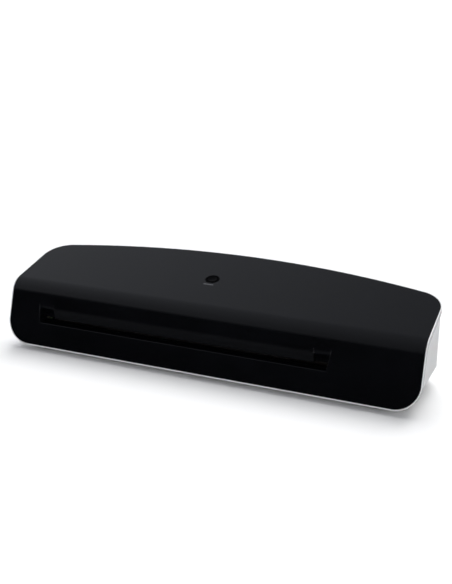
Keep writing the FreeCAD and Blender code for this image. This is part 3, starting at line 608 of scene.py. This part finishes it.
studio = {
    "floorColour": (0.90, 0.90, 0.90),
    "floorDarker": 0.995,        # the faint clouds in the floor, against its colour
    "floorClouds": 0.01,
    "floorRoughness": 0.9,
    "floorGloss": 0.1,
    "floorReach": 12.0,
    "backdropHeight": 3.6,
    "backdropSides": 48,
    "lampSpread": 56.0,          # degrees across, so that shadows are soft
    "lamps": {                   # the way to each lamp, and its strength
        "overhead": ((0.0, 0.62, 1.0), 3.6),
        "sideFill": ((1.0, -0.2, 0.08), 1.05),
        "frontFill": ((-0.1, -1.0, 0.12), 0.9),
    },
    "domeEdge": (0.25, 0.42),    # sine of the heights where the lit dome starts and is full
    "domeSpan": (0.2, -0.8),     # sideways, from the right end's part to the left end's
    "domeSides": (0.1, 1.62),    # its strength at those two
    "crown": (0.62, 0.95),       # heights between which it grows to its top
    "crownStrength": 1.4,
    "dome": 0.405,
    "belowEdge": (-0.05, -0.4),
    "below": 0.13,
    "dim": 0.002,
    "skyColour": (0.90, 0.93, 1.0),
    "exposure": 0.0,
}


def stageObject(name, points, sides, material):
    mesh = bpy.data.meshes.new(name)
    mesh.from_pydata(points, [], sides)
    mesh.materials.append(material)
    made = bpy.data.objects.new(name, mesh)
    bpy.context.scene.collection.objects.link(made)
    made.visible_glossy = False
    return made


def makeFloor(look):
    reach = look["floorReach"]
    even = {"Roughness": look["floorRoughness"], "Specular IOR Level": look["floorGloss"]}
    material, wire, shader = startFinish("paleFloor", even)
    darker = [c * look["floorDarker"] for c in look["floorColour"]]
    grain = clouds(wire, look["floorClouds"], 2)
    connect(shader, colour=tint(grain, look["floorColour"], darker))
    points = [(-reach, -reach, 0), (reach, -reach, 0), (reach, reach, 0), (-reach, reach, 0)]
    stageObject("floor", points, [(0, 1, 2, 3)], material)


# A white wall all round, at the floor's edge, that only the camera sees.
def makeBackdrop(look):
    reach, steps = look["floorReach"], look["backdropSides"]
    points = []
    sides = []
    for i in range(steps):
        turn = radians(360 * i / steps)
        x, y = reach * cos(turn), reach * sin(turn)
        points += [(x, y, 0), (x, y, look["backdropHeight"])]
        after = (i + 1) % steps
        sides.append((2 * i, 2 * after, 2 * after + 1, 2 * i + 1))
    even = {"Base Color": (0, 0, 0, 1), "Emission Color": (1, 1, 1, 1), "Emission Strength": 1.0,
            "Roughness": 1.0}
    material = startFinish("paleBackdrop", even)[0]
    wall = stageObject("backdrop", points, sides, material)
    wall.visible_diffuse = False
    wall.visible_shadow = False


# A lit dome over a dark horizon, stronger towards the left end.
def makeSky(look):
    world = bpy.data.worlds.new("studio")
    bpy.context.scene.world = world
    world.use_nodes = True
    wire = Wire(world.node_tree)
    aim = wire.add("TexCoord", out="Generated")
    rise = wire.add("SeparateXYZ", None, {0: aim}, "Z")
    side = wire.add("SeparateXYZ", None, {0: aim}, "X")
    dome = rise.between(*look["domeEdge"]) * side.between(*look["domeSpan"], *look["domeSides"])
    crown = rise.between(*look["crown"], 1.0, look["crownStrength"])
    below = rise.between(*look["belowEdge"]) * look["below"]
    bright = dome * crown * look["dome"] + below + look["dim"]
    back = world.node_tree.nodes["Background"]
    world.node_tree.links.new(bright.socket, back.inputs["Strength"])
    back.inputs["Color"].default_value = (*look["skyColour"], 1)


def makeLamps(look):
    for name, (towards, strength) in look["lamps"].items():
        light = bpy.data.lights.new(name, "SUN")
        light.energy = strength
        light.angle = radians(look["lampSpread"])
        lamp = bpy.data.objects.new(name, light)
        lamp.rotation_euler = Vector(towards).to_track_quat("Z", "Y").to_euler()
        lamp.visible_glossy = False
        bpy.context.scene.collection.objects.link(lamp)


view = {
    "azimuth": 23.78,          # degrees round from straight in front, towards the right end
    "elevation": 19.32,
    "distance": 0.760,
    "target": (0.0128, -0.0232, 0.0629),
    "lens": 62.35,
}


def makeCamera(look):
    turn, lift = radians(look["azimuth"]), radians(look["elevation"])
    outward = Vector((sin(turn) * cos(lift), -cos(turn) * cos(lift), sin(lift)))
    data = bpy.data.cameras.new("camera")
    data.lens = look["lens"]
    data.clip_start = 0.01
    camera = bpy.data.objects.new("camera", data)
    camera.location = Vector(look["target"]) + outward * look["distance"]
    camera.rotation_euler = outward.to_track_quat("Z", "Y").to_euler()
    bpy.context.scene.collection.objects.link(camera)
    bpy.context.scene.camera = camera


makeFloor(studio)
makeBackdrop(studio)
makeSky(studio)
makeLamps(studio)
makeCamera(view)
settings = bpy.context.scene.view_settings
settings.view_transform = "Standard"
settings.exposure = studio["exposure"]
print("studio ready")
